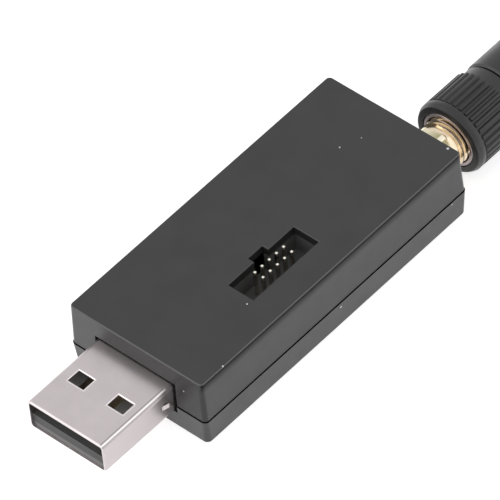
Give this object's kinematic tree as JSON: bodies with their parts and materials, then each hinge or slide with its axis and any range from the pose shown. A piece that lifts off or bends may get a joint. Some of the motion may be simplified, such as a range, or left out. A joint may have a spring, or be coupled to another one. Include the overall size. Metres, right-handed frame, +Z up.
{
  "type": "usb radio stick",
  "caption": "Smart home USB radio stick: two-shell case, folded steel plug, keyed header under a roof cut-out, and a knurled coupling with a tilt-and-swivel rod antenna.",
  "frame": {"origin": "centre of the case's flat underside", "axes": "+X along the stick from the plug to the antenna, +Z up out of the header side, +Y to the left seen from the plug"},
  "size_m": [0.1704, 0.0212, 0.0103],
  "materials": {
    "case_plastic": "moulded black ABS, fine satin texture",
    "antenna_plastic": "moulded black nylon, satin",
    "plug_steel": "nickel-plated folded steel",
    "plug_plastic": "moulded dark grey",
    "header_plastic": "moulded black",
    "contact_gold": "gold flash over copper alloy",
    "jack_brass": "turned brass, gold plated",
    "nut_nickel": "turned brass, nickel plated",
    "pin_steel": "drawn steel",
    "can_steel": "pressed steel can",
    "board_laminate": "glass laminate with dark solder mask",
    "chip_epoxy": "moulded epoxy",
    "chip_ceramic": "fired ceramic",
    "lamp_resin": "clear resin",
    "fluoroplastic": "turned white fluoroplastic",
    "cable_jacket": "extruded black jacket"
  },
  "bodies": {
    "stick": {"bottom_case": "case_plastic", "top_cover": "case_plastic", "circuit_board": "board_laminate", "radio_chip": "chip_epoxy", "usb_bridge_chip": "chip_epoxy", "voltage_regulator": "chip_epoxy", "radio_crystal": "can_steel", "clock_crystal": "can_steel", "capacitors": "chip_ceramic", "resistors": "chip_epoxy", "filter_coils": "chip_ceramic", "status_leds": "lamp_resin", "usb_shell": "plug_steel", "usb_insulator": "plug_plastic", "usb_contacts": "contact_gold", "header_housing": "header_plastic", "header_pins": "contact_gold", "jack_body": "jack_brass", "jack_insulator": "fluoroplastic", "jack_contact": "contact_gold", "collar": "antenna_plastic", "coupling_nut": "nut_nickel", "retaining_ring": "jack_brass", "antenna_ferrule": "jack_brass", "ferrule_insulator": "fluoroplastic", "antenna_centre_pin": "contact_gold", "feed_cable_lower": "cable_jacket"},
    "swivel": {"swivel_base": "antenna_plastic", "hinge_pin": "pin_steel"},
    "rod": {"knuckle": "antenna_plastic", "whip_sleeve": "antenna_plastic", "radiator_tube": "jack_brass", "feed_cable_upper": "cable_jacket"}
  },
  "joints": [
    {"name": "antenna_swivel", "type": "hinge", "parent": "stick", "child": "swivel", "pos_m": [0.0359, -0.00449, 0.00515], "axis": [1, 0, 0], "range_deg": [-180, 180]},
    {"name": "antenna_tilt", "type": "hinge", "parent": "swivel", "child": "rod", "pos_m": [0.0469, -0.00449, 0.00515], "axis": [0, -1, 0], "range_deg": [0, 90]}
  ]
}
